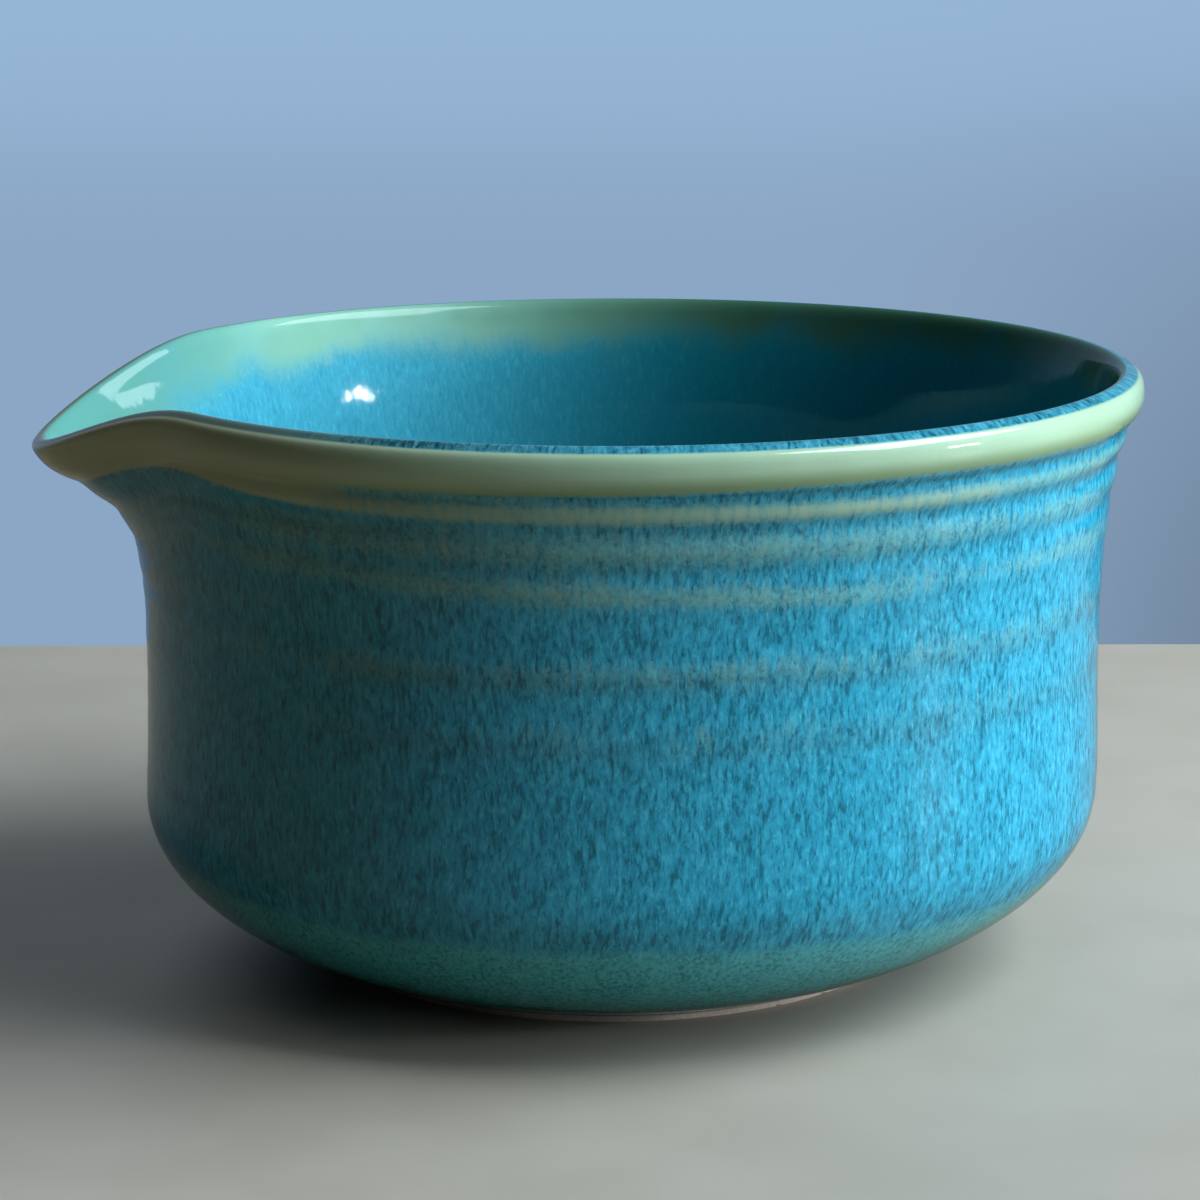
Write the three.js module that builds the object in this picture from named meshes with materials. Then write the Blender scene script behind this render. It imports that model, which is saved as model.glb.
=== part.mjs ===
// A wheel-thrown stoneware mixing bowl with a pulled pouring lip, and its three coats of glaze.
//
// Millimetres, +Z up. The origin is the centre of the foot's resting plane, and the spout points to -X,
// turned a little towards -Y. The clay body and the coats share their boundary surfaces triangle for
// triangle, so the coats lie on the clay with no gap and no overlap.

import * as THREE from 'three';
import { mergeVertices } from 'three/addons/utils/BufferGeometryUtils.js';

// Driving dimensions.
const BELLY_RADIUS = 85;
const BELLY_HEIGHT = 30;
const BOWL_HEIGHT = 104.8;
const FOOT_RADIUS = 51.4;
const WALL_THICKNESS = 5.4;
const FLOOR_HEIGHT = 9.5;
const GLAZE_THICKNESS = 0.6;

// Rolled lip: the neck below the bead, the bead's widest point and soft upper edge, and the crest.
const NECK_RADIUS = 88.8;
const NECK_HEIGHT = 96.3;
const BEAD_RADIUS = 91.4;
const BEAD_HEIGHT = 101;
const BEAD_EDGE_INSET = 1;
const BEAD_EDGE_RISE = 2.3;
const CREST_RADIUS = 88.2;
const LIP_INSET = 2.1;
const LIP_INSET_DROP = 3;

// Bare clay edge between the flat base and the glaze's lower end.
const CLAY_EDGE_HEIGHT = 1.2;
const CLAY_EDGE_STEP = 1.2;

// Throwing rings on the outside of the upper wall.
const FIRST_RING_HEIGHT = 93.4;
const RING_PITCH = 6.5;
const RING_COUNT = 4;
const RING_RELIEF = 0.35;

// Where the rim's green coat ends on the inside, measured down from the crest.
const RIM_BAND_DEPTH = 9;

// Pouring lip.
const SPOUT_TURN = THREE.MathUtils.degToRad(5.7);
const SPOUT_HALF_ANGLE = THREE.MathUtils.degToRad(34);
const SPOUT_PULL = 12.4;
const SPOUT_DROP = 11.4;
const SPOUT_REACH = 38.5;
const SPOUT_ROUNDNESS = 1.16;
const PULL_EASING = 4.7;
const DROP_EASING = 0.5;

// The body leans: from the belly up it sits a little to the +X side of the foot's centre.
const LEAN = 1.8;
const LEAN_HEIGHT = 40;

// Mesh density.
const SHOULDER_STEPS = 8;
const WALL_STEPS = 2;
const BEAD_STEPS = 3;
const EDGE_STEPS = 2;
const CREST_STEPS = 2;
const LIP_STEPS = 2;
const BAND_STEPS = 1;
const INNER_WALL_STEPS = 4;
const INNER_FLOOR_STEPS = 5;
const SPOUT_COLUMNS = 16;
const ROUND_COLUMNS = 36;

const point = (radius, height) => new THREE.Vector2(radius, height);

function curvePoints(start, leaving, arriving, end, steps) {
  return new THREE.CubicBezierCurve(start, leaving, arriving, end).getPoints(steps);
}

// Radius of the upper outer wall, belly to neck, at a height on it.
const wallCurve = new THREE.CubicBezierCurve(
  point(BELLY_RADIUS, BELLY_HEIGHT),
  point(BELLY_RADIUS, BELLY_HEIGHT + 18.4),
  point(NECK_RADIUS - 7, NECK_HEIGHT - 25),
  point(NECK_RADIUS, NECK_HEIGHT),
);

function wallRadius(height) {
  let low = 0;
  let high = 1;
  while (high - low > 1e-4) {
    const middle = (low + high) / 2;
    if (wallCurve.getPoint(middle).y < height) low = middle;
    else high = middle;
  }
  return wallCurve.getPoint(low).x;
}

// Ridges and grooves alternate down the wall from the first ring under the lip.
function throwingRings() {
  const rings = [];
  for (let half = 2 * RING_COUNT - 1; half >= 0; half -= 1) {
    const height = FIRST_RING_HEIGHT - half * RING_PITCH / 2;
    const relief = half % 2 === 0 ? RING_RELIEF : -RING_RELIEF;
    rings.push(point(wallRadius(height) + relief, height));
  }
  return rings;
}

// Outer surface from the glaze's lower edge at the foot up to the neck.
function outerProfile() {
  const edge = point(FOOT_RADIUS + CLAY_EDGE_STEP, CLAY_EDGE_HEIGHT);
  const belly = point(BELLY_RADIUS, BELLY_HEIGHT);
  const shoulder = curvePoints(
    edge,
    point(edge.x + 20.5, edge.y + 6.5),
    point(BELLY_RADIUS, BELLY_HEIGHT - 11.5),
    belly,
    SHOULDER_STEPS,
  );
  const rings = throwingRings();
  const plainWall = [];
  for (let step = 1; step <= WALL_STEPS; step += 1) {
    const height = THREE.MathUtils.lerp(BELLY_HEIGHT, rings[0].y, step / (WALL_STEPS + 1));
    plainWall.push(point(wallRadius(height), height));
  }
  return [...shoulder, ...plainWall, ...rings, point(NECK_RADIUS, NECK_HEIGHT)];
}

// Bead, sloping top, crest and inner edge of the lip, then down the inside to the end of the rim's coat.
function rimProfile() {
  const neck = point(NECK_RADIUS, NECK_HEIGHT);
  const bead = point(BEAD_RADIUS, BEAD_HEIGHT);
  const edge = point(BEAD_RADIUS - BEAD_EDGE_INSET, BEAD_HEIGHT + BEAD_EDGE_RISE);
  const crest = point(CREST_RADIUS, BOWL_HEIGHT);
  const inset = point(CREST_RADIUS - LIP_INSET, BOWL_HEIGHT - LIP_INSET_DROP);
  const bandEnd = point(inset.x - 1.6, BOWL_HEIGHT - RIM_BAND_DEPTH);
  const underBead = curvePoints(
    neck,
    point(neck.x + 1.4, neck.y + 0.7),
    point(bead.x, bead.y - 2),
    bead,
    BEAD_STEPS,
  );
  const overBead = curvePoints(
    bead,
    point(bead.x, bead.y + 1.2),
    point(edge.x + 0.6, edge.y - 0.4),
    edge,
    EDGE_STEPS,
  );
  const slope = curvePoints(
    edge,
    point(edge.x - 0.8, edge.y + 0.6),
    point(crest.x + 0.8, crest.y),
    crest,
    CREST_STEPS,
  );
  const lip = curvePoints(
    crest,
    point(crest.x - 1.2, crest.y),
    point(inset.x + 0.3, inset.y + 1.4),
    inset,
    LIP_STEPS,
  );
  const band = curvePoints(
    inset,
    point(inset.x - 0.5, inset.y - 2),
    point(bandEnd.x + 0.5, bandEnd.y + 2),
    bandEnd,
    BAND_STEPS,
  );
  const later = [overBead, slope, lip, band];
  return [...underBead, ...later.flatMap((stretch) => stretch.slice(1))];
}

// Inner wall and the rounded floor, ending on the axis.
function innerProfile(bandEnd) {
  const innerRadius = BELLY_RADIUS - WALL_THICKNESS;
  const belly = point(innerRadius, BELLY_HEIGHT + 12);
  const floor = point(26, FLOOR_HEIGHT);
  const wall = curvePoints(
    bandEnd,
    point(bandEnd.x - 3, bandEnd.y - 15),
    point(belly.x, belly.y + 16),
    belly,
    INNER_WALL_STEPS,
  );
  const bottom = curvePoints(
    belly,
    point(belly.x, belly.y - 22),
    point(60, FLOOR_HEIGHT + 0.8),
    floor,
    INNER_FLOOR_STEPS,
  );
  return [...wall, ...bottom.slice(1), point(0, FLOOR_HEIGHT)];
}

// Bare clay base, from the axis outwards and up to the glaze's lower edge.
function footProfile(clayEdge) {
  return [point(0, 0), point(FOOT_RADIUS, 0), clayEdge];
}

// The clay surface lies one glaze thickness behind the glazed one.
function behindGlaze(profile) {
  return profile.map((here, index) => {
    const before = profile[Math.max(index - 1, 0)];
    const after = profile[Math.min(index + 1, profile.length - 1)];
    const along = after.clone().sub(before).normalize();
    return point(Math.max(here.x - along.y * GLAZE_THICKNESS, 0), here.y + along.x * GLAZE_THICKNESS);
  });
}

// Angles from the spout's middle, closer together across the spout.
function columnAngles() {
  const angles = [];
  for (let column = 0; column < SPOUT_COLUMNS; column += 1) {
    angles.push(THREE.MathUtils.lerp(-SPOUT_HALF_ANGLE, SPOUT_HALF_ANGLE, column / SPOUT_COLUMNS));
  }
  for (let column = 0; column < ROUND_COLUMNS; column += 1) {
    const share = column / ROUND_COLUMNS;
    angles.push(THREE.MathUtils.lerp(SPOUT_HALF_ANGLE, 2 * Math.PI - SPOUT_HALF_ANGLE, share));
  }
  return angles;
}

// A point of the thrown profile, turned around the axis and pulled outwards and down with the spout.
function pulledPoint(profilePoint, angle) {
  const acrossSpout = THREE.MathUtils.clamp(angle / SPOUT_HALF_ANGLE, -1, 1);
  const lobe = Math.cos(acrossSpout * Math.PI / 2) ** (2 * SPOUT_ROUNDNESS);
  const upSpout = THREE.MathUtils.smoothstep(profilePoint.y, BOWL_HEIGHT - SPOUT_REACH, BOWL_HEIGHT);
  const radius = profilePoint.x + SPOUT_PULL * lobe * upSpout ** PULL_EASING;
  const height = profilePoint.y - SPOUT_DROP * lobe * upSpout ** DROP_EASING;
  const heading = Math.PI + SPOUT_TURN + angle;
  const lean = LEAN * THREE.MathUtils.smoothstep(profilePoint.y, 0, LEAN_HEIGHT);
  return new THREE.Vector3(radius * Math.cos(heading) + lean, radius * Math.sin(heading), height);
}

// Triangles of a profile line swept around the axis, facing out where the line runs upwards.
function sweep(profile) {
  const angles = columnAngles();
  const triangles = [];
  angles.forEach((angle, column) => {
    const nextAngle = angles[(column + 1) % angles.length];
    for (let row = 0; row + 1 < profile.length; row += 1) {
      const lowerLeft = pulledPoint(profile[row], angle);
      const lowerRight = pulledPoint(profile[row], nextAngle);
      const upperRight = pulledPoint(profile[row + 1], nextAngle);
      const upperLeft = pulledPoint(profile[row + 1], angle);
      if (profile[row].x > 0) triangles.push([lowerLeft, lowerRight, upperRight]);
      if (profile[row + 1].x > 0) triangles.push([lowerLeft, upperRight, upperLeft]);
    }
  });
  return triangles;
}

const reversed = (triangles) => triangles.map(([first, second, third]) => [first, third, second]);

// One closed solid from the triangle sheets that bound it.
function closedBody(name, ...sheets) {
  const positions = sheets.flat(2).flatMap((corner) => corner.toArray());
  const soup = new THREE.BufferGeometry();
  soup.setAttribute('position', new THREE.Float32BufferAttribute(positions, 3));
  const geometry = mergeVertices(soup, 1e-3);
  geometry.computeVertexNormals();
  const material = new THREE.MeshStandardMaterial({ metalness: 0, ...LOOKS[name] });
  const mesh = new THREE.Mesh(geometry, material);
  mesh.name = name;
  return mesh;
}

const outerFace = outerProfile();
const rimFace = rimProfile();
const innerFace = innerProfile(rimFace.at(-1));
const glazedFace = [...outerFace, ...rimFace.slice(1), ...innerFace.slice(1)];
const clayFace = behindGlaze(glazedFace);

// Each coat's stretch of the glazed and clay lines.
const outerEnd = outerFace.length;
const rimEnd = outerEnd + rimFace.length - 1;
const outerCoat = sweep(glazedFace.slice(0, outerEnd));
const rimCoat = sweep(glazedFace.slice(outerEnd - 1, rimEnd));
const innerCoat = sweep(glazedFace.slice(rimEnd - 1));
const outerClay = sweep(clayFace.slice(0, outerEnd));
const rimClay = sweep(clayFace.slice(outerEnd - 1, rimEnd));
const innerClay = sweep(clayFace.slice(rimEnd - 1));

// Where one coat ends at the next, and at the bare foot.
const foot = sweep(footProfile(clayFace[0]));
const footSeam = sweep([clayFace[0], glazedFace[0]]);
const neckSeam = sweep([clayFace[outerEnd - 1], glazedFace[outerEnd - 1]]);
const bandSeam = sweep([clayFace[rimEnd - 1], glazedFace[rimEnd - 1]]);

const LOOKS = {
  stoneware_body: { color: 0xb39a86, roughness: 0.8 },
  exterior_glaze: { color: 0x2f8696, roughness: 0.15 },
  rim_glaze: { color: 0x86a88c, roughness: 0.12 },
  interior_glaze: { color: 0x2a93ad, roughness: 0.12 },
};

const bowl = new THREE.Group();
bowl.add(
  closedBody('stoneware_body', foot, outerClay, rimClay, innerClay),
  closedBody('exterior_glaze', footSeam, outerCoat, reversed(neckSeam), reversed(outerClay)),
  closedBody('rim_glaze', neckSeam, rimCoat, reversed(bandSeam), reversed(rimClay)),
  closedBody('interior_glaze', bandSeam, innerCoat, reversed(innerClay)),
);

export default bowl;
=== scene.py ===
"""Looks of the thrown and glazed mixing bowl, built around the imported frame.

Every surface comes from one function, bowl_surface, which gives the glazed face of the pot (or a layer
behind it) for an arc length along its thrown profile and an angle from the spout. The coats of glaze
and the clay are cut from it, so they meet without a step. Lengths are in millimetres until a mesh or
a light is made.
"""

import math

import bpy
import numpy as np
from mathutils import Matrix, Vector


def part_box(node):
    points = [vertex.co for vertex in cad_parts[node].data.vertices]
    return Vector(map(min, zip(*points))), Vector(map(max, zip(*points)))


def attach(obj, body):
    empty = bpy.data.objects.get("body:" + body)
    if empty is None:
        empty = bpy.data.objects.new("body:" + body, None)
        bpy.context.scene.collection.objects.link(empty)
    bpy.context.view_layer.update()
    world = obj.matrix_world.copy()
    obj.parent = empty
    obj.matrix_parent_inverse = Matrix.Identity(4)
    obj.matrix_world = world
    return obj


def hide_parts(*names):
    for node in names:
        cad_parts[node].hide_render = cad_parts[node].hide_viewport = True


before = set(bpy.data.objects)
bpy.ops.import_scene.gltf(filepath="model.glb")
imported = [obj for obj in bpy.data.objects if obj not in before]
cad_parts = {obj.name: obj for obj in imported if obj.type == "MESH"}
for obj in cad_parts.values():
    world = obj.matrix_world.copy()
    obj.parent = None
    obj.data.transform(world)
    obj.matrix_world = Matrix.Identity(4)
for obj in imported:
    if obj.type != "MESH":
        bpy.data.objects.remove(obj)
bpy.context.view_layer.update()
MM = 0.001


def node_box(node):
    """The low and high corners of a node of the frame, in millimetres."""
    low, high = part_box(node)
    return np.array(low) / MM, np.array(high) / MM


# ---------------------------------------------------------------- sizes, from the frame's boxes

RIM_LOW, RIM_HIGH = node_box("rim_glaze")
OUTSIDE_LOW, OUTSIDE_HIGH = node_box("exterior_glaze")
INSIDE_LOW, INSIDE_HIGH = node_box("interior_glaze")

# The thickness of a coat and of the whole wall.
GLAZE = 0.6
WALL = 5.4

# Belly and foot as shares of the rim's radius, and the widest place as a share of the height.
BELLY_SHARE = 0.931
FOOT_SHARE = 0.563
BELLY_HEIGHT_SHARE = 0.286

HEIGHT = RIM_HIGH[2]
BEAD_RADIUS = (RIM_HIGH[1] - RIM_LOW[1]) / 2
LEAN = RIM_HIGH[0] - BEAD_RADIUS
BELLY_RADIUS = BELLY_SHARE * BEAD_RADIUS
FOOT_RADIUS = FOOT_SHARE * BEAD_RADIUS
INNER_RADIUS = BELLY_RADIUS - WALL
BELLY_HEIGHT = BELLY_HEIGHT_SHARE * HEIGHT

# Points of the profile, each as a radius and a height.
NECK = (BEAD_RADIUS - 2.5, OUTSIDE_HIGH[2])
BEAD = (BEAD_RADIUS, HEIGHT - 4.1)
BEAD_EDGE = (BEAD_RADIUS - 1.1, HEIGHT - 1.0)
CREST = (BEAD_RADIUS - 3.2, HEIGHT)
LIP_INSET = (CREST[0] - 2.1, HEIGHT - 3)
BAND_END = (LIP_INSET[0] - 1.6, INSIDE_HIGH[2])
GLAZE_EDGE = (FOOT_RADIUS + 1.2, OUTSIDE_LOW[2] + 0.4)
FLOOR_CENTRE = (0, INSIDE_LOW[2] + GLAZE)
FLOOR_HEIGHT = FLOOR_CENTRE[1]
FLAT_RADIUS = 26

# The height over which the pot leans away from its foot, and the rounding of the profile's corners.
LEAN_HEIGHT = 40
EDGE_SOFTNESS = 0.36

# The spout: its heading and half width, how far it is pulled out and down, and the height that it takes up.
SPOUT_TURN = math.radians(5.7)
SPOUT_HALF_ANGLE = math.radians(34)
SPOUT_PULL = 12.4
SPOUT_DROP = 11.4
SPOUT_REACH = 38.5
SPOUT_ROUNDNESS = 1.16
PULL_EASING = 4.7
DROP_EASING = 0.5
SPOUT_LIP_NARROWING = 1.1

# A hand-thrown rim is never quite round or level: shares of the radius, and a height.
OVAL = 0.0016
THREE_SIDED = 0.0009
RIM_WAVE = 0.18

# Points around the pot, and the step along its profile.
COLUMNS = 480
PROFILE_STEP = 0.1

# Below these a vector has no direction, and a ring of points is a single point.
NO_LENGTH = 1e-12
NO_WIDTH = 1e-3


# ---------------------------------------------------------------- thrown profile

def curve(start, leaving, arriving, end):
    """A Bezier curve between two points, with the handles it leaves and arrives along."""
    t = np.linspace(0, 1, 200)[:, None]
    start, leaving, arriving, end = (np.array(point, float) for point in (start, leaving, arriving, end))
    first_half = (1 - t) ** 3 * start + 3 * t * (1 - t) ** 2 * leaving
    return first_half + 3 * t * t * (1 - t) * arriving + t ** 3 * end


def arc_lengths(points):
    """Length along a line from its start to each of its points."""
    return np.concatenate([[0], np.cumsum(np.hypot(*np.diff(points, axis=0).T))])


def softened(points, reach):
    """The same line at an even step, with its corners rounded over about the given reach."""
    arc = arc_lengths(points)
    even = np.arange(0, arc[-1], PROFILE_STEP)
    line = np.stack([np.interp(even, arc, points[:, axis]) for axis in (0, 1)], 1)
    pad = int(4 * reach / PROFILE_STEP)
    before = 2 * line[0] - line[pad:0:-1]
    after = 2 * line[-1] - line[-2:-pad - 2:-1]
    weights = np.exp(-0.5 * (np.arange(-pad, pad + 1) * PROFILE_STEP / reach) ** 2)
    weights /= weights.sum()
    padded = np.concatenate([before, line, after])
    return np.stack([np.convolve(padded[:, axis], weights, "valid") for axis in (0, 1)], 1)


def thrown_profile():
    """The glazed line from the foot up the outside, over the lip and down to the middle of the floor."""
    edge_r, edge_z = GLAZE_EDGE
    neck_r, neck_z = NECK
    bead_r, bead_z = BEAD
    soft_r, soft_z = BEAD_EDGE
    crest_r, crest_z = CREST
    inset_r, inset_z = LIP_INSET
    band_r, band_z = BAND_END
    belly_r, belly_z = BELLY_RADIUS, BELLY_HEIGHT
    inner_r, inner_z = INNER_RADIUS, BELLY_HEIGHT + 12
    belly = (belly_r, belly_z)
    inner_belly = (inner_r, inner_z)
    floor = (FLAT_RADIUS, FLOOR_HEIGHT)
    stretches = {
        "shoulder": curve(GLAZE_EDGE, (edge_r + 20.5, edge_z + 6.5), (belly_r, belly_z - 11.5), belly),
        "wall": curve(belly, (belly_r, belly_z + 18.4), (neck_r - 6.4, neck_z - 24), NECK),
        "bead": curve(NECK, (neck_r + 1.4, neck_z + 0.7), (bead_r, bead_z - 2), BEAD),
        "bead_top": curve(BEAD, (bead_r, bead_z + 1.7), (soft_r + 0.7, soft_z - 0.35), BEAD_EDGE),
        "slope": curve(BEAD_EDGE, (soft_r - 0.9, soft_z + 0.45), (crest_r + 0.8, crest_z), CREST),
        "lip": curve(CREST, (crest_r - 1.2, crest_z), (inset_r + 0.3, inset_z + 1.4), LIP_INSET),
        "band": curve(LIP_INSET, (inset_r - 0.5, inset_z - 2), (band_r + 0.5, band_z + 2), BAND_END),
        "inside": curve(BAND_END, (band_r - 3.5, band_z - 15), (inner_r, inner_z + 16), inner_belly),
        "bowl": curve(inner_belly, (inner_r, inner_z - 22), (60, FLOOR_HEIGHT + 0.8), floor),
        "floor": curve(floor, (18, FLOOR_HEIGHT), (9, FLOOR_HEIGHT), FLOOR_CENTRE),
    }
    ends = {}
    line = np.array([GLAZE_EDGE])
    for name, points in stretches.items():
        line = np.concatenate([line, points[1:]])
        ends[name] = arc_lengths(line)[-1]
    return softened(line, EDGE_SOFTNESS), ends


PROFILE, ENDS = thrown_profile()
PROFILE_ARC = np.arange(len(PROFILE)) * PROFILE_STEP
PROFILE_SLOPE = np.gradient(PROFILE, axis=0)
PROFILE_SLOPE /= np.hypot(*PROFILE_SLOPE.T)[:, None]
AXIS_ARC = PROFILE_ARC[-1]
CREST_ARC = ENDS["slope"]


def along(arc, values):
    """A value of the profile at the given arc lengths."""
    return np.interp(arc, PROFILE_ARC, values)


def eased(value, low, high):
    """0 below low, 1 above high, with a smooth rise between them."""
    share = np.clip((value - low) / (high - low), 0, 1)
    return share * share * (3 - 2 * share)


def wrapped(angle):
    """The same angle between minus pi and pi."""
    return np.mod(angle + math.pi, 2 * math.pi) - math.pi


def hump(value, middle, half_width):
    """A rounded bump: 1 in the middle, falling away on both sides."""
    return np.exp(-((value - middle) / half_width) ** 2)


# ---------------------------------------------------------------- throwing rings

# Rings that close on themselves: height on the near side, dip opposite the spout, relief, half width and
# how thin the glaze breaks over them.
LEVEL_RINGS = (
    (93.6, 0.125, 0.42, 1.7, 0.0),
    (88.0, 0.75, 0.20, 2.5, 0.36),
    (67.9, -0.375, 0.14, 2.8, 0.22),
    (57.9, 0.5, 0.08, 3.0, 0.14),
)

# Rings that climb: height on the near side, fall over a full turn, where they fade in and out in degrees
# from the spout, then relief, half width and thinness as above.
SPIRAL_RINGS = (
    (80.3, 19.5, -40, 140, 0.16, 2.0, 0.36),
    (80.4, 6.0, 94, 420, 0.15, 2.4, 0.32),
)

# Degrees over which a climbing ring fades, and the side on which the heights of the rings are given.
FADE = 35
NEAR_SIDE = 90

# Grooves between the rings under the rim: height, depth and half width.
GROOVES = (
    (90.2, 0.35, 1.6),
    (83.9, 0.22, 1.6),
)

# Relief and pitch of the faint throwing ripples, and the relief of the roll at the foot's edge.
OUTSIDE_RIPPLE = (0.014, 5.2)
INSIDE_RIPPLE = (0.012, 9.5)
FOOT_ROLL = 0.22


def ring_humps(height, angle):
    """Each ring's share at a place on the wall: (share, relief, thinness) in turn."""
    degrees = np.degrees(angle)
    for middle, dip, relief, half_width, thinned in LEVEL_RINGS:
        here = middle - dip * np.sin(np.radians(degrees - NEAR_SIDE))
        yield hump(height, here, half_width), relief, thinned
    for middle, fall, first, last, relief, half_width, thinned in SPIRAL_RINGS:
        for turn in (-360, 0, 360):
            turned = degrees + turn
            here = middle - fall * (turned - NEAR_SIDE) / 360
            window = eased(turned, first, first + FADE) * (1 - eased(turned, last - FADE, last))
            yield hump(height, here, half_width) * window, relief, thinned


def outside_share(arc):
    """1 on the outer wall, 0 on the lip and inside."""
    return 1 - eased(arc, ENDS["wall"] - 1, ENDS["wall"] + 2)


def throwing_relief(arc, angle):
    """How far the surface stands out from the plain profile: rings, grooves and a faint throwing ripple."""
    height = along(arc, PROFILE[:, 1])
    rings = sum(share * relief for share, relief, _ in ring_humps(height, angle))
    grooves = sum(depth * hump(height, middle, half_width) for middle, depth, half_width in GROOVES)
    rise, pitch = OUTSIDE_RIPPLE
    ripple = rise * np.sin(height * 2 * math.pi / pitch + angle) * eased(height, 8, 20)
    outside = (rings - grooves + ripple) * outside_share(arc) + FOOT_ROLL * hump(arc, 1.1, 0.9)

    rise, pitch = INSIDE_RIPPLE
    inner_height = np.where(arc > CREST_ARC + 8, height, 0)
    inside = rise * np.sin(inner_height * 2 * math.pi / pitch - angle)
    inside = inside * eased(arc, CREST_ARC + 9, CREST_ARC + 25)
    return outside + inside * (1 - eased(arc, AXIS_ARC - 40, AXIS_ARC - 12))


# ---------------------------------------------------------------- the whole surface

def pulled_spout(arc, angle, radius, height):
    """The wall pulled out and down into the spout, where the sloping strip of the lip gets narrower."""
    across = np.clip(wrapped(angle) / SPOUT_HALF_ANGLE, -1, 1)
    lobe = np.cos(across * math.pi / 2) ** (2 * SPOUT_ROUNDNESS)
    up = eased(height, HEIGHT - SPOUT_REACH, HEIGHT)
    narrowing = eased(arc, ENDS["bead"], ENDS["slope"]) * (1 - eased(arc, ENDS["lip"], ENDS["lip"] + 14))
    radius = radius + SPOUT_PULL * lobe * up ** PULL_EASING
    radius = radius + SPOUT_LIP_NARROWING * narrowing * hump(wrapped(angle), 0, 0.75)
    return radius, height - SPOUT_DROP * lobe * up ** DROP_EASING


def thrown_unevenly(angle, radius, height):
    """The wall slightly out of round and out of level, more so towards the rim."""
    wobble = eased(height, 15, HEIGHT)
    radius = radius * (1 + wobble * (OVAL * np.sin(2 * angle + 0.7) + THREE_SIDED * np.sin(3 * angle)))
    return radius, height + RIM_WAVE * wobble * np.sin(2 * angle + 2.2)


def bowl_surface(arc, angle, depth):
    """Points for arrays of arc length and angle, pushed a depth behind the glazed face."""
    slope_r = along(arc, PROFILE_SLOPE[:, 0])
    slope_z = along(arc, PROFILE_SLOPE[:, 1])
    rise = throwing_relief(arc, angle) - depth
    radius = np.maximum(along(arc, PROFILE[:, 0]) + slope_z * rise, 0)
    height = along(arc, PROFILE[:, 1]) - slope_r * rise
    radius, height = pulled_spout(arc, angle, radius, height)
    radius, height = thrown_unevenly(angle, radius, height)
    heading = math.pi + SPOUT_TURN + angle
    lean = LEAN * eased(height, 0, LEAN_HEIGHT)
    return np.stack([radius * np.cos(heading) + lean, radius * np.sin(heading), height], -1)


def unit(vectors):
    """The same directions with length 1; a vector without length stays so."""
    lengths = np.linalg.norm(vectors, axis=-1, keepdims=True)
    return vectors / np.maximum(lengths, NO_LENGTH)


def surface_normals(arc, angle, depth):
    """Unit vectors out of the surface, from small steps along it and around it."""
    step = 0.02
    turn = 0.0005
    upward = bowl_surface(arc + step, angle, depth) - bowl_surface(arc - step, angle, depth)
    around = bowl_surface(arc, angle + turn, depth) - bowl_surface(arc, angle - turn, depth)
    return unit(np.cross(around, upward))


# ---------------------------------------------------------------- how the glaze lies, and painted light and shade

def between(arc, low, high, softness):
    """1 from one arc length to another, with soft ends."""
    return eased(arc, low - softness, low + softness) * (1 - eased(arc, high - softness, high + softness))


def from_spout(angle):
    """Degrees round from the spout, either way."""
    return np.abs(np.degrees(wrapped(angle)))


def spout_half(degrees):
    """1 on the half of the pot with the spout, 0 opposite it."""
    return 1 - eased(degrees, 92, 128)


def bead_start(degrees):
    """Arc length at which the thin glaze of the bead begins; it comes down towards the spout."""
    return ENDS["wall"] + 0.2 + 2.1 * eased(degrees, 55, 115)


def wall_thinness(arc, angle):
    """Thin over the rings, towards the foot and a little under the rim."""
    height = along(arc, PROFILE[:, 1])
    degrees = from_spout(angle)
    rings = np.zeros_like(height)
    for share, _, thinned in ring_humps(height, angle):
        rings = np.maximum(rings, share * thinned)
    rings = rings * (0.75 + 0.25 * spout_half(degrees)) * (0.45 + 0.55 * eased(degrees, 25, 60))
    foot = 0.35 * (1 - eased(arc, 8, 26))
    under_rim = eased(height, 70, 86) * spout_half(degrees)
    return np.maximum(rings, foot) + 0.04 + 0.09 * under_rim


def rim_thinness(arc, angle):
    """Thin on the bead and on the first ring under it; towards the spout the two run together."""
    degrees = from_spout(angle)
    neck = ENDS["wall"]
    bead_low = bead_start(degrees)
    ring_low = neck - 4.5 + 4.6 * (1 - eased(degrees, 5, 62))
    ring_high = neck - 1.0 - 0.6 * eased(degrees, 85, 115)
    faded = 1 - 0.42 * eased(degrees, 104, 142)
    first_ring = 0.74 * faded * between(arc, ring_low, ring_high, 1.1)
    merged = merging(degrees)
    bridged = merged + 0.42 * (1 - merged) * (1 - eased(degrees, 62, 100))
    bridge = bridged * between(arc, ring_low, bead_low + 1.2, 0.7)
    return np.maximum(first_ring, bridge)


def merging(degrees):
    """1 near the spout, where the first ring, the bead and the lip carry one thin glaze."""
    return 1 - eased(degrees, 44, 62)


def band_thinness(arc, angle):
    """Thin on the band inside the rim, deepest at the spout, with an uneven lower edge."""
    spout = 13 * hump(wrapped(angle), 0, 0.42)
    beside = 2.5 * hump(wrapped(angle), -0.9, 0.5) + 2.5 * hump(wrapped(angle), -1.35, 0.35)
    uneven = 0.7 * np.sin(3 * angle + 1) + 0.5 * np.sin(8 * angle)
    depth = 4.6 + spout + beside + uneven
    return 1 - eased(arc - CREST_ARC, depth - 5.0, depth + 10.0)


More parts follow.
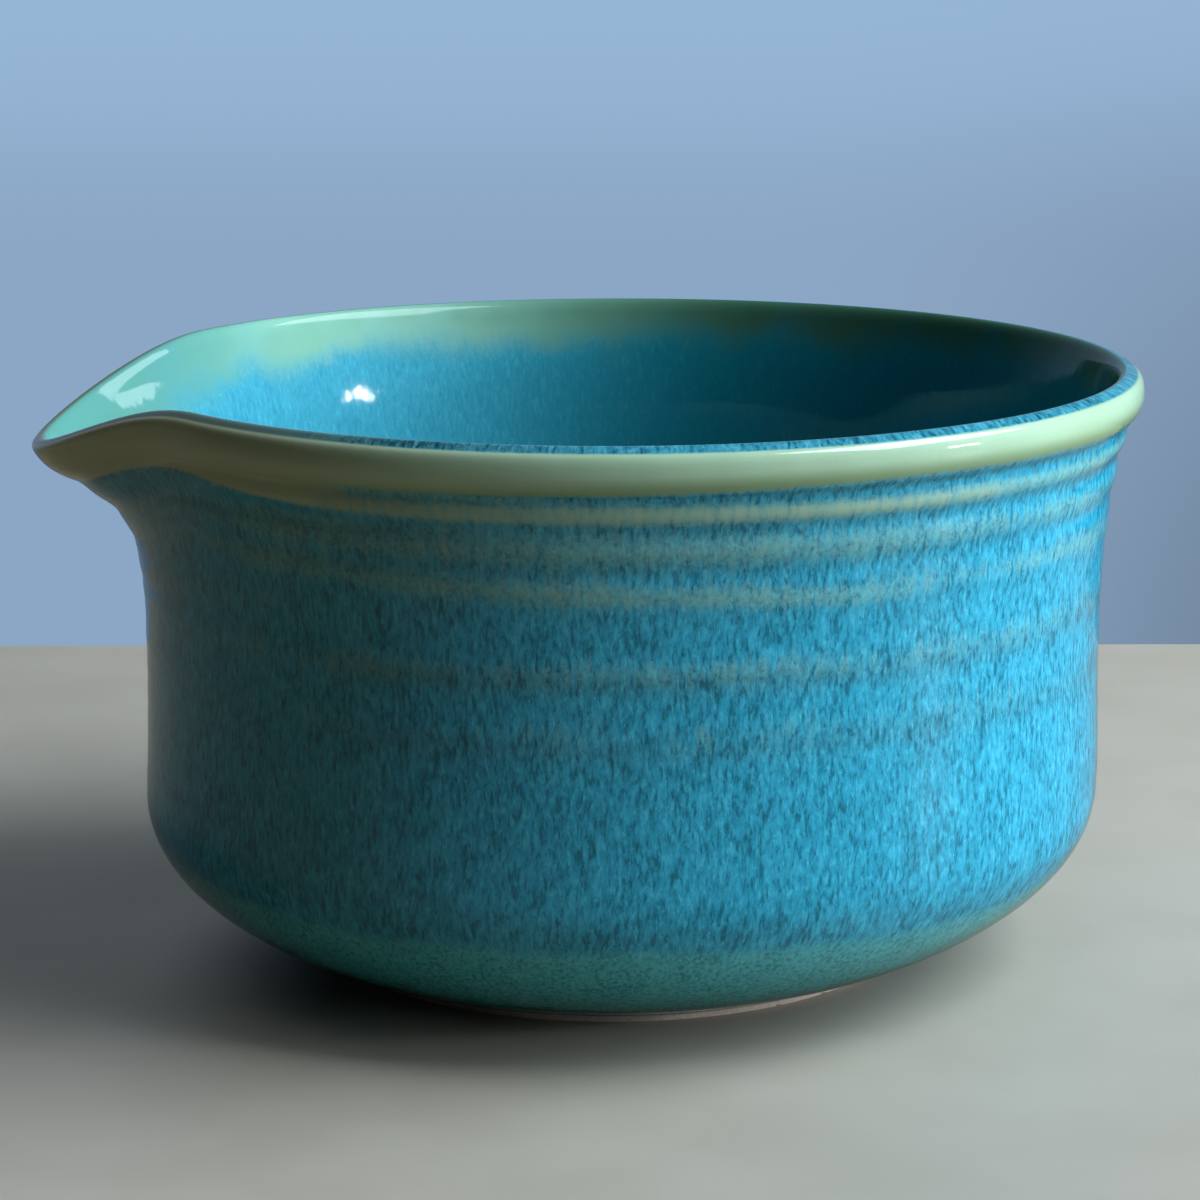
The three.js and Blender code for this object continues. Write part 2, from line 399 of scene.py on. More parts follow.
def thinness(arc, angle):
    """0 where the glaze is thick and blue, 1 where it breaks thin and green."""
    degrees = from_spout(angle)
    bead_low = bead_start(degrees)
    bead = eased(arc, bead_low - 1.4, bead_low + 1.2)
    outside = np.maximum(wall_thinness(arc, angle) * (1 - bead), rim_thinness(arc, angle))
    outside = np.maximum(outside, bead)

    # The sloping strip of the lip holds thick blue glaze, but not at the spout.
    edge = ENDS["bead_top"]
    strip = eased(arc, edge - 0.2, edge + 0.5) * (1 - eased(arc, CREST_ARC - 0.3, CREST_ARC + 0.6))
    lip = np.minimum(outside, 1 - 0.93 * strip * (1 - merging(degrees)))
    return np.where(arc > CREST_ARC + 1, band_thinness(arc, angle), lip)


def pooled_and_shade_share(arc, angle):
    """Glaze that gathers dark at the foot's edge and in two grooves, darker under the rim, and on the lip's
    strip partly painted shade.
    """
    height = along(arc, PROFILE[:, 1])
    degrees = from_spout(angle)
    foot_edge = 0.8 * (1 - eased(arc, 0.9, 2.4))
    grooves = 0.36 * hump(height, 66.2, 2.2) + 0.28 * hump(height, 55.2, 2.3)
    grooves = grooves + 0.22 * eased(height, 72, 88) * spout_half(degrees)
    grooves = grooves * eased(degrees, 42, 60) * outside_share(arc)
    # The lip's strip: darker glaze, with painted shade growing towards the spout.
    strip = between(arc, ENDS["bead_top"] + 0.1, CREST_ARC + 0.2, 0.4)
    strip = strip * (0.95 - 0.27 * eased(degrees, 55, 90))
    return np.maximum(np.maximum(foot_edge, strip), grooves)


def bead_painted_shade(arc, angle):
    """Painted shade, strongest along the lower part of the bead, where the olive turns darker."""
    low = bead_start(from_spout(angle))
    return 0.8 * between(arc, low - 1.5, low + 2.2, 1.6)


def spout_painted_light_share(angle):
    """1 at the spout: painted warm bounce light on the bead, and painted shade on the lip's strip and the
    inner mint.
    """
    return 1 - eased(from_spout(angle), 15, 85)


# How much painted shade the inside floor carries, all the way round.
FLOOR_PAINTED_SHADE = 0.3


def far_side_painted_shade(arc, angle):
    """Painted shade: 1 on the far and right inner wall, 0 near the spout, and an even share on the floor."""
    behind = np.mod(-np.degrees(angle), 360)
    wall = 0.95 * eased(behind, 46, 116) * (1 - eased(behind, 215, 285))
    on_wall = eased(along(arc, PROFILE[:, 1]), FLOOR_HEIGHT + 8, 0.6 * HEIGHT)
    return FLOOR_PAINTED_SHADE + (wall - FLOOR_PAINTED_SHADE) * on_wall


# Arc length at which the greener foot zone ends.
FOOT_ZONE_EDGE = 37.5


def foot_zone(arc, angle):
    """1 on the greener glaze of the lower shoulder and the foot, 0 above its uneven edge."""
    uneven = 1.6 * np.sin(angle + 2.2) + 0.5 * np.sin(5 * angle) + 0.3 * np.sin(17 * angle + 1)
    edge = FOOT_ZONE_EDGE + uneven
    return 1 - eased(arc, edge - 1.2, edge + 1.6)


def flow_place(arc, angle):
    """Coordinates in which a run of glaze goes straight down: two around the pot and one along its wall."""
    radius = along(arc, PROFILE[:, 0])
    below = arc > ENDS["inside"]
    around = np.where(below, radius * BELLY_RADIUS / INNER_RADIUS, BELLY_RADIUS)
    heading = math.pi + SPOUT_TURN + angle
    return np.stack([around * np.cos(heading), around * np.sin(heading), arc], -1)


# ---------------------------------------------------------------- meshes

# How the glaze lies, and the painted shade and light, stored at every point for the materials.
LAYERS = ("flow", "thin", "inside", "foot", "pooled_and_shade", "painted_shade", "spout_painted_light")


def ring(arc, angles, depth, facing):
    """Points, normals, glaze layers and painted light and shade all the way round at one arc length; facing
    -1 is a back face.
    """
    arcs = np.full_like(angles, arc)
    return {
        "points": bowl_surface(arcs, angles, depth),
        "normals": facing * surface_normals(arcs, angles, depth),
        "facing": facing,
        "flow": flow_place(arcs, angles),
        "thin": thinness(arcs, angles),
        "inside": np.full_like(angles, 1.0 if arc > CREST_ARC else 0.0),
        "foot": foot_zone(arcs, angles),
        # Gathered glaze, with painted shade on the lip's strip.
        "pooled_and_shade": pooled_and_shade_share(arcs, angles),
        # Painted shade: on the far inner wall inside, on the lower part of the bead outside.
        "painted_shade": far_side_painted_shade(arcs, angles) if arc > CREST_ARC else bead_painted_shade(arcs, angles),
        # Painted warm bounce light and shade near the spout.
        "spout_painted_light": spout_painted_light_share(angles),
    }


def shell(name, rings, closed=True):
    """One body from rings of points; a ring whose points all meet on the axis becomes a single point."""
    poles = [np.ptp(r["points"][:, :2], axis=0).max() < NO_WIDTH for r in rings]
    sizes = [1 if pole else len(r["points"]) for r, pole in zip(rings, poles)]
    starts = np.concatenate([[0], np.cumsum(sizes)[:-1]])
    points = np.concatenate([r["points"][:size] for r, size in zip(rings, sizes)]) * MM
    pairs = [(row, row + 1) for row in range(len(rings) - 1)]
    if closed:
        pairs.append((len(rings) - 1, 0))
    faces, corner_normals = [], []
    for low, high in pairs:
        corners, normals = band_of_faces(points, rings, starts, sizes, low, high)
        faces.extend(corners.tolist())
        corner_normals.append(normals.reshape(-1, 3))
    mesh = bpy.data.meshes.new(name)
    mesh.from_pydata(points.tolist(), [], faces)
    for layer in LAYERS:
        values = np.concatenate([r[layer][:size] for r, size in zip(rings, sizes)])
        kind, field = ("FLOAT_VECTOR", "vector") if layer == "flow" else ("FLOAT", "value")
        add_attribute(mesh, layer, kind, field, values)
    mesh.shade_smooth()
    mesh.normals_split_custom_set(np.concatenate(corner_normals).tolist())
    piece = bpy.data.objects.new(name, mesh)
    bpy.context.scene.collection.objects.link(piece)
    return piece


def band_of_faces(points, rings, starts, sizes, low, high):
    """Faces between two neighbouring rings, with a normal for each of their corners."""
    columns = max(sizes[low], sizes[high])
    here = np.arange(columns)
    following = (here + 1) % columns
    rows, steps = [low, low, high, high], [here, following, following, here]
    if sizes[low] == 1:
        rows, steps = [low, high, high], [0 * here, following, here]
    if sizes[high] == 1:
        rows, steps = [low, low, high], [here, following, 0 * here]
    corners = np.stack([starts[row] + step for row, step in zip(rows, steps)], 1)
    if rings[low]["facing"] == rings[high]["facing"]:
        return corners, np.stack([rings[row]["normals"][step] for row, step in zip(rows, steps)], 1)
    a, b, c = (points[corners[:, corner]] for corner in range(3))
    flat = unit(np.cross(b - a, c - a))
    return corners, np.repeat(flat[:, None], len(rows), axis=1)


def add_attribute(mesh, name, kind, field, values):
    attribute = mesh.attributes.new(name, kind, "POINT")
    attribute.data.foreach_set(field, np.asarray(values, np.float32).ravel())


def coat(name, start, stop, rows, back_rows):
    """A closed layer of glaze between two arc lengths, thinning to nothing at the foot's edge."""
    angles = np.linspace(0, 2 * math.pi, COLUMNS, endpoint=False)
    rings = []
    for arc in np.linspace(start, stop, rows):
        edge_share = min(arc / GLAZE, 1)
        tuck = GLAZE * (1 - math.sqrt(1 - (1 - edge_share) ** 2))
        rings.append(ring(arc, angles, min(tuck, 0.98 * GLAZE), 1))
    for arc in np.linspace(stop, start, back_rows):
        rings.append(ring(arc, angles, GLAZE, -1))
    return shell(name, rings, closed=stop < AXIS_ARC)


# The base: depth and pitch of its turning marks, the rounding of its edge, and where the glazed wall begins.
TRIM_DEPTH = 0.18
TRIM_PITCH = 2.3
FOOT_ROUNDING = 0.4
CLAY_START = 0.05


def clay_body():
    """The fired clay: its bare foot, and the wall behind the glaze."""
    angles = np.linspace(0, 2 * math.pi, COLUMNS // 2, endpoint=False)
    rings = []
    for radius in np.linspace(0, FOOT_RADIUS, 110):
        groove = TRIM_DEPTH * (1 + math.cos(radius * 2 * math.pi / TRIM_PITCH)) / 2
        rings.append(base_ring(radius, groove, angles))
    for turn in np.linspace(0, math.pi / 3, 5):
        outward = FOOT_ROUNDING * math.sin(turn)
        upward = FOOT_ROUNDING * (1 - math.cos(turn))
        rings.append(base_ring(FOOT_RADIUS + outward, upward, angles))
    rings.append(base_ring(GLAZE_EDGE[0] - GLAZE / 2, GLAZE_EDGE[1] + GLAZE / 2, angles))
    for arc in np.linspace(CLAY_START, AXIS_ARC, 150):
        rings.append(ring(arc, angles, GLAZE, 1))
    return shell("stoneware_clay", rings, closed=False)


def base_ring(radius, height, angles):
    """A ring of the unglazed base, facing down in the middle and outwards at the foot's edge."""
    heading = math.pi + SPOUT_TURN + angles
    points = np.stack([radius * np.cos(heading), radius * np.sin(heading), np.full_like(angles, height)], -1)
    outward = eased(radius, FOOT_RADIUS - 0.1, FOOT_RADIUS + 0.5)
    upward = np.full_like(angles, 0.9 * outward - 1)
    normals = np.stack([outward * np.cos(heading), outward * np.sin(heading), upward], -1)
    bare = {layer: np.zeros_like(angles) for layer in LAYERS}
    bare["points"] = points
    bare["normals"] = unit(normals)
    bare["facing"] = 1
    bare["flow"] = points.copy()
    return bare


# ---------------------------------------------------------------- materials

def linear(red, green, blue):
    """Scene-linear colour from 0-255 display values."""
    def channel(value):
        value = value / 255
        return value / 12.92 if value <= 0.04045 else ((value + 0.055) / 1.055) ** 2.4
    return (channel(red), channel(green), channel(blue), 1)


# Scene-linear colours of the glaze: thick, thinned, where it gathers, on the foot zone, on the rim, painted
# shade and painted warm bounce light, and the clay.
DEEP_BLUE = (0.002, 0.140, 0.220, 1)
GLAZE_BLUE = (0.017, 0.315, 0.490, 1)
PALE_BLUE = (0.060, 0.490, 0.680, 1)
THINNED_BLUE = (0.130, 0.380, 0.400, 1)
INSIDE_BLUE = (0.045, 0.290, 0.390, 1)
# Painted shade on the far and right inner wall.
INSIDE_PAINTED_SHADE = (0.001, 0.104, 0.125, 1)
DEEP_TEAL = (0.006, 0.170, 0.195, 1)
# Colours where glaze gathers; on the lip's strip they are partly painted shade, olive near the spout.
POOLED_AND_SHADE_TEAL = (0.035, 0.165, 0.205, 1)
POOLED_AND_SHADE_OLIVE = (0.060, 0.085, 0.055, 1)
POOLED_AND_SHADE_DARK = (0.005, 0.050, 0.070, 1)
POOLED_AND_SHADE_PALE = (0.120, 0.360, 0.430, 1)
FOOT_TEAL = (0.055, 0.435, 0.520, 1)
PALE_TEAL = (0.120, 0.540, 0.600, 1)
OLIVE_GREEN = (0.340, 0.510, 0.360, 1)
# Olive mottling on the bead, and painted shade on its lower part.
OLIVE_MOTTLE_AND_SHADE = (0.190, 0.310, 0.150, 1)
# Painted warm bounce light from the floor on the bead at the spout.
WARM_BOUNCE_OLIVE = (0.490, 0.515, 0.335, 1)
MINT_GREEN = (0.210, 0.440, 0.350, 1)
# Painted shade on the mint inside the spout.
SPOUT_SHADED_MINT = (0.092, 0.285, 0.248, 1)
DEEP_MINT = (0.150, 0.350, 0.250, 1)
# Painted shade on the mint band on the far side inside the rim.
FAR_BAND_SHADE_OLIVE = (0.025, 0.080, 0.045, 1)
FIRED_CLAY = linear(224, 214, 202)
TOASTED_CLAY = linear(150, 108, 84)
IRON_SPECK = linear(92, 66, 52)

# The glaze's surface: depth of its dimples and of its runs, how strongly it shines, and its refraction.
DIMPLE_DEPTH = 0.22 * MM
RUN_DEPTH = 0.015 * MM
OUTSIDE_SHINE = 0.5
INSIDE_SHINE = 0.2
GLAZE_IOR = 1.5

# Depth of the bare clay's grain.
GRAIN_DEPTH = 0.08 * MM


class Shader:
    """A short way to write a node tree: each call adds what it needs and returns an output."""

    def __init__(self, name):
        self.material = bpy.data.materials.new(name)
        self.material.use_nodes = True
        self.tree = self.material.node_tree
        self.surface = self.tree.nodes["Principled BSDF"]

    def node(self, kind, inputs, output=0, **settings):
        made = self.tree.nodes.new(kind)
        for key, value in settings.items():
            setattr(made, key, value)
        for key, value in inputs.items():
            self.feed(made.inputs[key], value)
        return made.outputs[output]

    def feed(self, socket, value):
        if isinstance(value, bpy.types.NodeSocket):
            self.tree.links.new(value, socket)
        else:
            socket.default_value = value

    def attribute(self, name, output):
        return self.node("ShaderNodeAttribute", {}, output, attribute_name=name)

    def math(self, operation, a, b):
        return self.node("ShaderNodeMath", {0: a, 1: b}, operation=operation)

    def scaled(self, vector, factors):
        return self.node("ShaderNodeVectorMath", {0: vector, 1: factors}, operation="MULTIPLY")

    def stretched(self, vector, around, down, shift=0.0):
        place = self.scaled(vector, (around, around, down))
        return self.node("ShaderNodeVectorMath", {0: place, 1: (shift, shift, shift)}, operation="ADD")

    def noise(self, vector, detail=2.0, roughness=0.5, distortion=0.0):
        inputs = {
            "Vector": vector,
            "Scale": 1.0,
            "Detail": detail,
            "Roughness": roughness,
            "Distortion": distortion,
        }
        return self.node("ShaderNodeTexNoise", inputs, "Fac")

    def ramp(self, value, low, high, start=0.0, stop=1.0):
        inputs = {"Value": value, "From Min": low, "From Max": high, "To Min": start, "To Max": stop}
        return self.node("ShaderNodeMapRange", inputs, interpolation_type="SMOOTHSTEP")

    def mixed(self, kind, sockets, share, first, second):
        made = self.tree.nodes.new("ShaderNodeMix")
        made.data_type = kind
        first_socket, second_socket, result = sockets
        self.feed(made.inputs[0], share)
        self.feed(made.inputs[first_socket], first)
        self.feed(made.inputs[second_socket], second)
        return made.outputs[result]

    def mix(self, share, first, second):
        """A colour between two colours."""
        return self.mixed("RGBA", (6, 7, 2), share, first, second)

    def blend(self, share, first, second):
        """A number between two numbers."""
        return self.mixed("FLOAT", (2, 3, 0), share, first, second)

    def bump(self, height, distance, strength, normal=None):
        inputs = {"Height": height, "Distance": distance, "Strength": strength}
        if normal is not None:
            inputs["Normal"] = normal
        return self.node("ShaderNodeBump", inputs)

    def finish(self, **inputs):
        for key, value in inputs.items():
            self.feed(self.surface.inputs[key.replace("_", " ")], value)
        return self.material


def ragged_thinness(s, layers, fingers, clouds):
    """Thinness with fingered edges, where thin and thick glaze run into each other down the wall."""
    inside = layers["inside"]
    fingering = s.math("MULTIPLY", s.ramp(fingers, 0.25, 0.75, -1, 1), s.blend(inside, 0.10, 0.05))
    clouding = s.math("MULTIPLY", s.ramp(clouds, 0.3, 0.7, -1, 1), s.blend(inside, 0.05, 0.20))
    return s.math("ADD", s.math("ADD", layers["thin"], fingering), clouding)


def dark_runs(s, layers, ragged, thinned, long_runs):
    """Short upright runs, rounder in the foot zone: the raw pattern, and how dark it comes out."""
    flow, foot = layers["flow"], layers["foot"]
    specks = s.noise(s.stretched(flow, 1.35, 1.05, 9.0), detail=3.0, roughness=0.62, distortion=0.3)
    rounder = s.math("MAXIMUM", foot, s.ramp(thinned, 0.2, 0.8, 0.0, 0.6))
    drift = s.ramp(s.noise(s.stretched(flow, 0.22, 0.12, 11.0), detail=1.0), 0.3, 0.7, -0.03, 0.03)
    runs = s.math("ADD", s.blend(rounder, long_runs, specks), drift)
    streaky = s.math("MULTIPLY", s.ramp(ragged, 0.15, 0.85, 1.0, 0.04), s.blend(layers["inside"], 1.0, 0.3))
    strength = s.math("MULTIPLY", streaky, s.blend(foot, 1.0, 0.7))
    return runs, s.math("MULTIPLY", s.ramp(runs, 0.45, 0.68), strength)


def pale_curdling(s, layers, runs, green):
    """Pale veins and patches between the dark runs, fainter inside, fainter still in the painted shade of the
    far inner wall, and where the glaze is green.
    """
    veins = s.noise(s.stretched(layers["flow"], 1.6, 0.6, 5.0), detail=2.0, roughness=0.55, distortion=0.8)
    pale = s.math("ADD", s.ramp(runs, 0.48, 0.30, 0.0, 0.5), s.ramp(veins, 0.50, 0.72, 0.0, 0.55))
    pale = s.math("MULTIPLY", pale, s.ramp(green, 0.3, 1.0, 1.0, 0.1))
    return s.math("MULTIPLY", pale, s.blend(layers["inside"], 1.0, s.blend(layers["painted_shade"], 0.45, 0.15)))


def thin_glaze_colour(s, layers, clouds):
    """Olive on the bead, with painted shade on its lower part and painted warm bounce light at the spout;
    mint inside, with painted shade at the spout and on the far side.
    """
    painted_shade, spout_painted_light = layers["painted_shade"], layers["spout_painted_light"]
    olive = s.mix(s.ramp(clouds, 0.35, 0.65, 0.0, 0.15), OLIVE_GREEN, OLIVE_MOTTLE_AND_SHADE)
    olive = s.mix(spout_painted_light, s.mix(painted_shade, olive, OLIVE_MOTTLE_AND_SHADE), WARM_BOUNCE_OLIVE)
    mint = s.mix(s.ramp(clouds, 0.35, 0.65, 0.0, 0.6), MINT_GREEN, DEEP_MINT)
    mint = s.mix(s.ramp(spout_painted_light, 0.45, 1.0), mint, SPOUT_SHADED_MINT)
    return s.mix(layers["inside"], olive, s.mix(painted_shade, mint, FAR_BAND_SHADE_OLIVE))


def base_colour(s, layers, thinned, green, breaking):
    """The even colour of the glaze under its runs."""
    thick = s.mix(s.ramp(thinned, 0.0, 1.0, 0.0, 0.85), GLAZE_BLUE, THINNED_BLUE)
    thick = s.mix(layers["foot"], thick, FOOT_TEAL)
    # Painted shade darkens the far and right inner wall.
    thick = s.mix(layers["inside"], thick, s.mix(layers["painted_shade"], INSIDE_BLUE, INSIDE_PAINTED_SHADE))
    # Where glaze gathers, and on the lip's strip as painted shade, olive towards the spout.
    gathered_and_shade = s.mix(layers["spout_painted_light"], POOLED_AND_SHADE_TEAL, POOLED_AND_SHADE_OLIVE)
    return s.mix(layers["pooled_and_shade"], s.mix(green, thick, breaking), gathered_and_shade)


def light_colour(s, layers, thinned, green, breaking):
    """The colour of the pale curdling."""
    light = s.mix(layers["foot"], PALE_BLUE, PALE_TEAL)
    light = s.mix(s.ramp(thinned, 0.0, 1.0, 0.0, 0.7), light, PALE_TEAL)
    # No pale curdling in the painted shade of the far inner wall.
    light = s.mix(s.math("MULTIPLY", layers["inside"], layers["painted_shade"]), light, INSIDE_BLUE)
    # The pale curdling where glaze gathers, and on the lip's strip as painted shade.
    gathered_and_shade = s.mix(layers["spout_painted_light"], POOLED_AND_SHADE_PALE, POOLED_AND_SHADE_OLIVE)
    return s.mix(layers["pooled_and_shade"], s.mix(green, light, breaking), gathered_and_shade)


def glaze_material(name):
    """Reactive glaze: blue and streaked where it lies thick, olive green where it breaks thin."""
    s = Shader(name)
    layers = {layer: s.attribute(layer, "Vector" if layer == "flow" else "Fac") for layer in LAYERS}
    flow, inside = layers["flow"], layers["inside"]
    fingers = s.noise(s.stretched(flow, 0.85, 0.16), detail=3.0, roughness=0.6)
    clouds = s.noise(s.stretched(flow, 0.06, 0.07, 7.0), detail=3.0)
    long_runs = s.noise(s.stretched(flow, 1.35, 0.42, 3.0), detail=4.0, roughness=0.65, distortion=0.35)

    ragged = ragged_thinness(s, layers, fingers, clouds)
    thinned = s.ramp(ragged, 0.05, 0.45)
    green = s.blend(inside, s.ramp(ragged, 0.36, 0.86), s.ramp(ragged, 0.16, 0.94))
    runs, dark = dark_runs(s, layers, ragged, thinned, long_runs)
    pale = pale_curdling(s, layers, runs, green)

    breaking = thin_glaze_colour(s, layers, clouds)
    base = base_colour(s, layers, thinned, green, breaking)
    light = light_colour(s, layers, thinned, green, breaking)
    # Dark runs turn darker where glaze gathers and in the painted shade on the lip's strip.
    deep = s.mix(layers["pooled_and_shade"], s.mix(layers["foot"], DEEP_BLUE, DEEP_TEAL), POOLED_AND_SHADE_DARK)
    colour = s.mix(dark, s.mix(pale, base, light), deep)

    dimples = s.noise(s.stretched(flow, 0.22, 0.10, 2.0), detail=2.0)
    normal = s.bump(dimples, DIMPLE_DEPTH, 0.35)
    normal = s.bump(s.math("SUBTRACT", pale, dark), RUN_DEPTH, 0.5, normal)
    roughness = s.ramp(long_runs, 0.3, 0.7, 0.04, 0.09)
    shine = s.blend(inside, OUTSIDE_SHINE, INSIDE_SHINE)
    return s.finish(
        Base_Color=colour,
        Roughness=roughness,
        Normal=normal,
        IOR=GLAZE_IOR,
        Specular_IOR_Level=shine,
    )


def clay_material(name):
    """Bare fired stoneware: fine grog, toasted patches and a few iron specks."""
    s = Shader(name)
    place = s.node("ShaderNodeTexCoord", {}, "Object")
    grain = s.noise(s.scaled(place, (1400, 1400, 1400)))
    cloud = s.noise(s.scaled(place, (60, 60, 60)))
    specks = s.noise(s.scaled(place, (620, 620, 620)), detail=0.0)
    base = s.mix(s.ramp(cloud, 0.35, 0.65, 0.0, 0.22), FIRED_CLAY, TOASTED_CLAY)
    base = s.mix(s.ramp(grain, 0.3, 0.75, 0.0, 0.25), base, TOASTED_CLAY)
    colour = s.mix(s.ramp(specks, 0.74, 0.79, 0.0, 0.8), base, IRON_SPECK)
    normal = s.bump(grain, GRAIN_DEPTH, 0.6)
    return s.finish(Base_Color=colour, Roughness=s.ramp(grain, 0.3, 0.7, 0.72, 0.88), Normal=normal)


# The floor as the camera sees it, and the colour with which it lights the pot.
FLOOR_SEEN = (0.322, 0.298, 0.248, 1)
FLOOR_SEEN_PALE = (0.346, 0.322, 0.272, 1)
FLOOR_THROWN = (0.195, 0.165, 0.110, 1)


def floor_material():
    """Pale floor that throws less light back than it shows, for the deep shadows of a dim room."""
    s = Shader("pale_floor")
    place = s.node("ShaderNodeTexCoord", {}, "Object")
    mottle = s.noise(s.scaled(place, (30, 30, 30)))
    seen = s.mix(s.ramp(mottle, 0.3, 0.7), FLOOR_SEEN, FLOOR_SEEN_PALE)
    camera_ray = s.node("ShaderNodeLightPath", {}, "Is Camera Ray")
    return s.finish(Base_Color=s.mix(camera_ray, FLOOR_THROWN, seen), Roughness=0.5)


# ---------------------------------------------------------------- the pot

# Where the outer coat and the inner coat are each cut in two.
SPLIT_ARC = ENDS["shoulder"] + 14
FLOOR_ARC = ENDS["inside"] + 22

# Each coat's piece, the node it stands in for, its material, where it starts and stops along the profile,
# and its rows in front and behind.
COATS = (
    ("exterior_glaze_lower", "exterior_glaze", "teal_glaze", 0.0, SPLIT_ARC, 96, 20),
    ("exterior_glaze_upper", "exterior_glaze", "teal_glaze", SPLIT_ARC, ENDS["wall"], 100, 20),
    ("rim_glaze_bead", "rim_glaze", "green_glaze", ENDS["wall"], ENDS["lip"], 64, 20),
    ("rim_glaze_band", "rim_glaze", "green_glaze", ENDS["lip"], ENDS["band"], 14, 5),
    ("interior_glaze_wall", "interior_glaze", "cyan_glaze", ENDS["band"], FLOOR_ARC, 110, 16),
    ("interior_glaze_floor", "interior_glaze", "cyan_glaze", FLOOR_ARC, AXIS_ARC, 70, 12),
)

materials = {name: glaze_material(name) for name in ("teal_glaze", "green_glaze", "cyan_glaze")}
materials["bare_stoneware"] = clay_material("bare_stoneware")


def place_piece(piece, node, slot):
    """Give the piece its material and put it on the bowl in place of its node."""
    piece.data.materials.append(materials[slot])
    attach(piece, "root")
    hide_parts(node)


for piece_name, node, slot, start, stop, rows, back_rows in COATS:
    place_piece(coat(piece_name, start, stop, rows, back_rows), node, slot)
place_piece(clay_body(), "stoneware_body", "bare_stoneware")


# ---------------------------------------------------------------- floor, light and camera

# The edges of the floor, in metres; the back one is the far edge of the table.
FLOOR_LEFT = -1.3
FLOOR_RIGHT = 0.95
FLOOR_FRONT = -1.3
FLOOR_BACK = 0.236

# The backdrop that the camera sees, and the room that lights the pot.
BACKDROP_HIGH = (0.310, 0.470, 0.680, 1)
BACKDROP = (0.262, 0.385, 0.560, 1)
BACKDROP_CORNER = (0.120, 0.165, 0.230, 1)
DIM_ROOM = (0.010, 0.012, 0.010, 1)
BLUE_WALL = (0.190, 0.270, 0.390, 1)
WALL_DIRECTION = (-0.30, 0.95, 0.0)

DAYLIGHT = (0.90, 1.0, 1.10)
ROOM_LIGHT = (0.95, 1.0, 1.02)
PLAIN_LIGHT = (1.0, 1.0, 1.0)

# The height around which the lights are placed, and the place that most of them face.
LIGHT_HEIGHT = 0.07
LIGHT_TARGET = (0, 0, LIGHT_HEIGHT)

# Focal length in millimetres, place in metres and turns in radians.
LENS = 109.7
CAMERA_PLACE = (LEAN * MM, -0.6396, 0.1984)
CAMERA_YAW = -0.0062
CAMERA_PITCH = 0.2105
CAMERA_ROLL = -0.0028


def make_floor():
    low = [(FLOOR_LEFT, FLOOR_FRONT, 0), (FLOOR_RIGHT, FLOOR_FRONT, 0)]
    corners = low + [(FLOOR_RIGHT, FLOOR_BACK, 0), (FLOOR_LEFT, FLOOR_BACK, 0)]
    mesh = bpy.data.meshes.new("floor")
    mesh.from_pydata(corners, [], [(0, 1, 2, 3)])
    mesh.materials.append(floor_material())
    floor = bpy.data.objects.new("floor", mesh)
    bpy.context.scene.collection.objects.link(floor)


def soft_light(name, place, target, width, height, watts, colour, mirrored=True):
    """A rectangle of light; one that isn't mirrored leaves no reflection in the glaze."""
    data = bpy.data.lights.new(name, "AREA")
    data.shape = "RECTANGLE"
    data.size = width
    data.size_y = height
    data.energy = watts
    data.color = colour
    light = bpy.data.objects.new(name, data)
    light.location = place
    light.visible_camera = False
    light.visible_glossy = mirrored
    light.rotation_euler = (Vector(target) - Vector(place)).to_track_quat("-Z", "Y").to_euler()
    bpy.context.scene.collection.objects.link(light)


def make_world():
    """A dim room with a pale blue wall behind; the camera sees an even, slightly falling backdrop."""
    s = WorldShader()
    side = s.socket("ShaderNodeTexCoord", "Window")
    across = s.part(side, 0)
    up = s.part(side, 1)
    low_right = s.math("MULTIPLY", s.ramp(across, 0.62, 1.25), s.ramp(up, 1.1, 0.4))
    seen = s.mix(s.ramp(up, 1.0, 0.78), BACKDROP_HIGH, BACKDROP)
    seen = s.mix(s.math("MULTIPLY", low_right, 0.9), seen, BACKDROP_CORNER)

    direction = s.socket("ShaderNodeTexCoord", "Generated")
    sides = {0: direction, 1: WALL_DIRECTION}
    facing_wall = s.node("ShaderNodeVectorMath", sides, "Value", operation="DOT_PRODUCT")
    behind = s.ramp(facing_wall, 0.55, 0.95)
    above = s.ramp(s.part(direction, 2), -0.45, -0.10)
    lighting = s.mix(s.math("MULTIPLY", behind, above), DIM_ROOM, BLUE_WALL)
    camera_ray = s.socket("ShaderNodeLightPath", "Is Camera Ray")
    s.feed(s.surface.inputs["Color"], s.mix(camera_ray, lighting, seen))


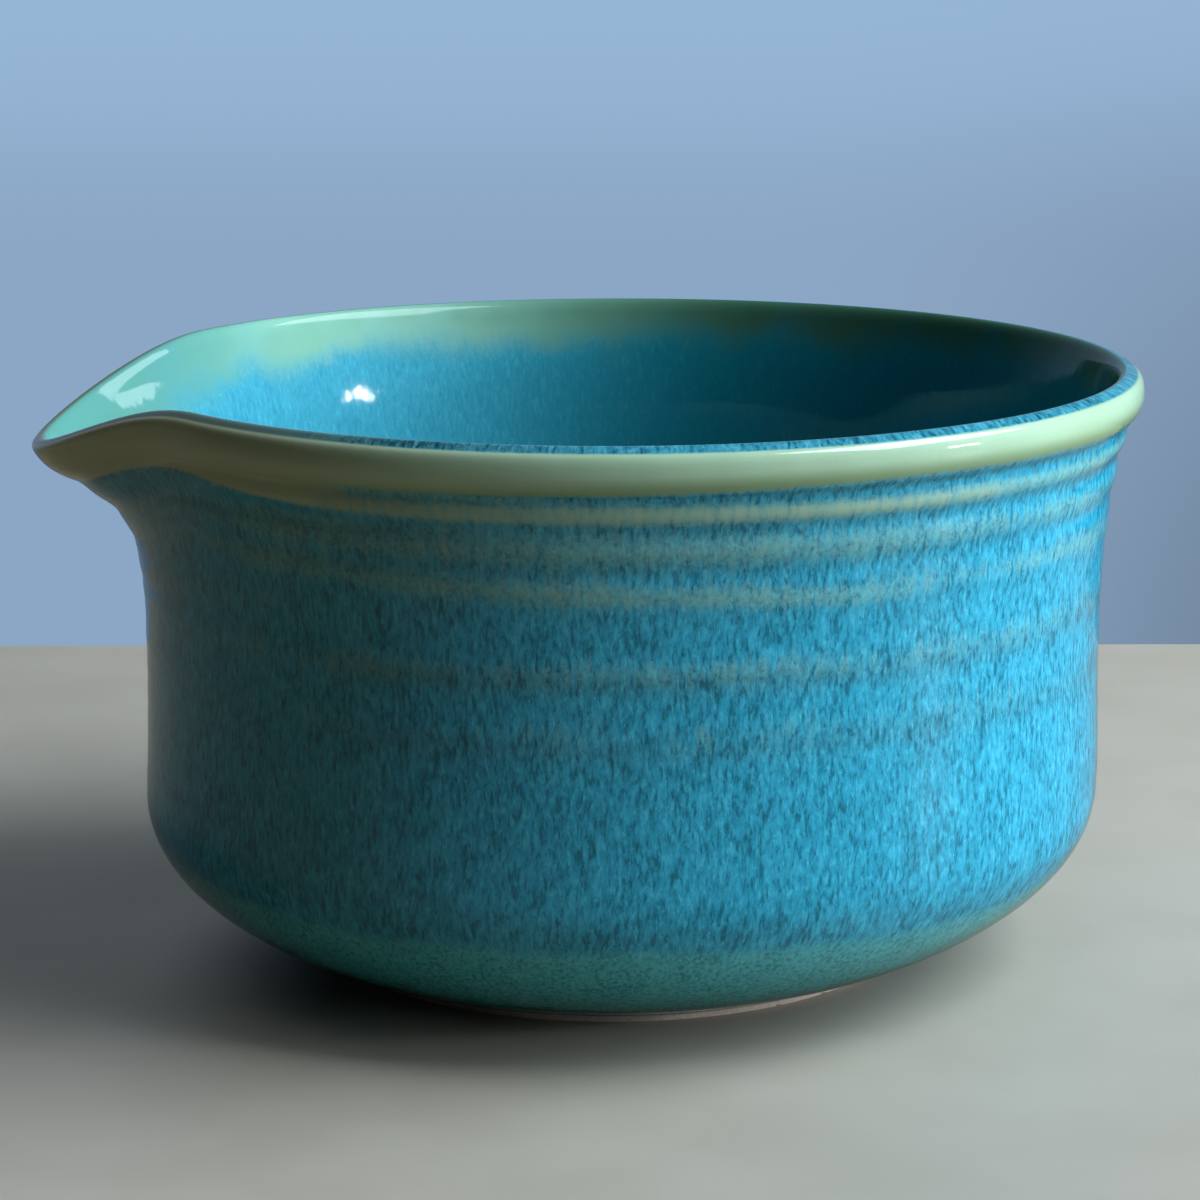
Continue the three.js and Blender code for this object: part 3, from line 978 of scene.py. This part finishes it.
class WorldShader(Shader):
    """The same short way to write the world's nodes."""

    def __init__(self):
        self.world = bpy.data.worlds.new("room")
        bpy.context.scene.world = self.world
        self.world.use_nodes = True
        self.tree = self.world.node_tree
        self.surface = self.tree.nodes["Background"]

    def socket(self, kind, output):
        return self.node(kind, {}, output)

    def part(self, vector, axis):
        return self.node("ShaderNodeSeparateXYZ", {0: vector}, axis)


def toward(azimuth, elevation, distance):
    """A place seen from the bowl under the given angles; azimuth turns from +X to +Y."""
    azimuth = math.radians(azimuth)
    elevation = math.radians(elevation)
    flat = distance * math.cos(elevation)
    up = LIGHT_HEIGHT + distance * math.sin(elevation)
    return (flat * math.cos(azimuth), flat * math.sin(azimuth), up)


def make_camera():
    data = bpy.data.cameras.new("camera")
    data.sensor_width = 36
    data.lens = LENS
    level = math.cos(CAMERA_PITCH)
    forward = Vector((math.sin(CAMERA_YAW) * level, math.cos(CAMERA_YAW) * level, -math.sin(CAMERA_PITCH)))
    right = Vector((math.cos(CAMERA_YAW), -math.sin(CAMERA_YAW), 0))
    up = right.cross(forward)
    rolled_right = right * math.cos(CAMERA_ROLL) + up * math.sin(CAMERA_ROLL)
    rolled_up = up * math.cos(CAMERA_ROLL) - right * math.sin(CAMERA_ROLL)
    camera = bpy.data.objects.new("camera", data)
    turn = Matrix((rolled_right, rolled_up, -forward)).transposed().to_4x4()
    camera.matrix_world = Matrix.Translation(CAMERA_PLACE) @ turn
    bpy.context.scene.collection.objects.link(camera)
    bpy.context.scene.camera = camera


make_floor()
make_world()
soft_light("window", toward(-8, 48, 1.1), LIGHT_TARGET, 0.82, 0.60, 17, DAYLIGHT)
soft_light("daylight", toward(-6, 18, 1.1), (0, 0, 0.02), 1.6, 0.60, 17, DAYLIGHT, mirrored=False)
soft_light("far_room", toward(125, 40, 1.3), (-0.1, 0, 0), 1.2, 0.9, 4.5, ROOM_LIGHT, mirrored=False)
soft_light("bright_pane", toward(-16, 8.9, 1.1), LIGHT_TARGET, 0.130, 0.046, 1.9, PLAIN_LIGHT)
make_camera()
bpy.context.scene.view_settings.view_transform = "Standard"
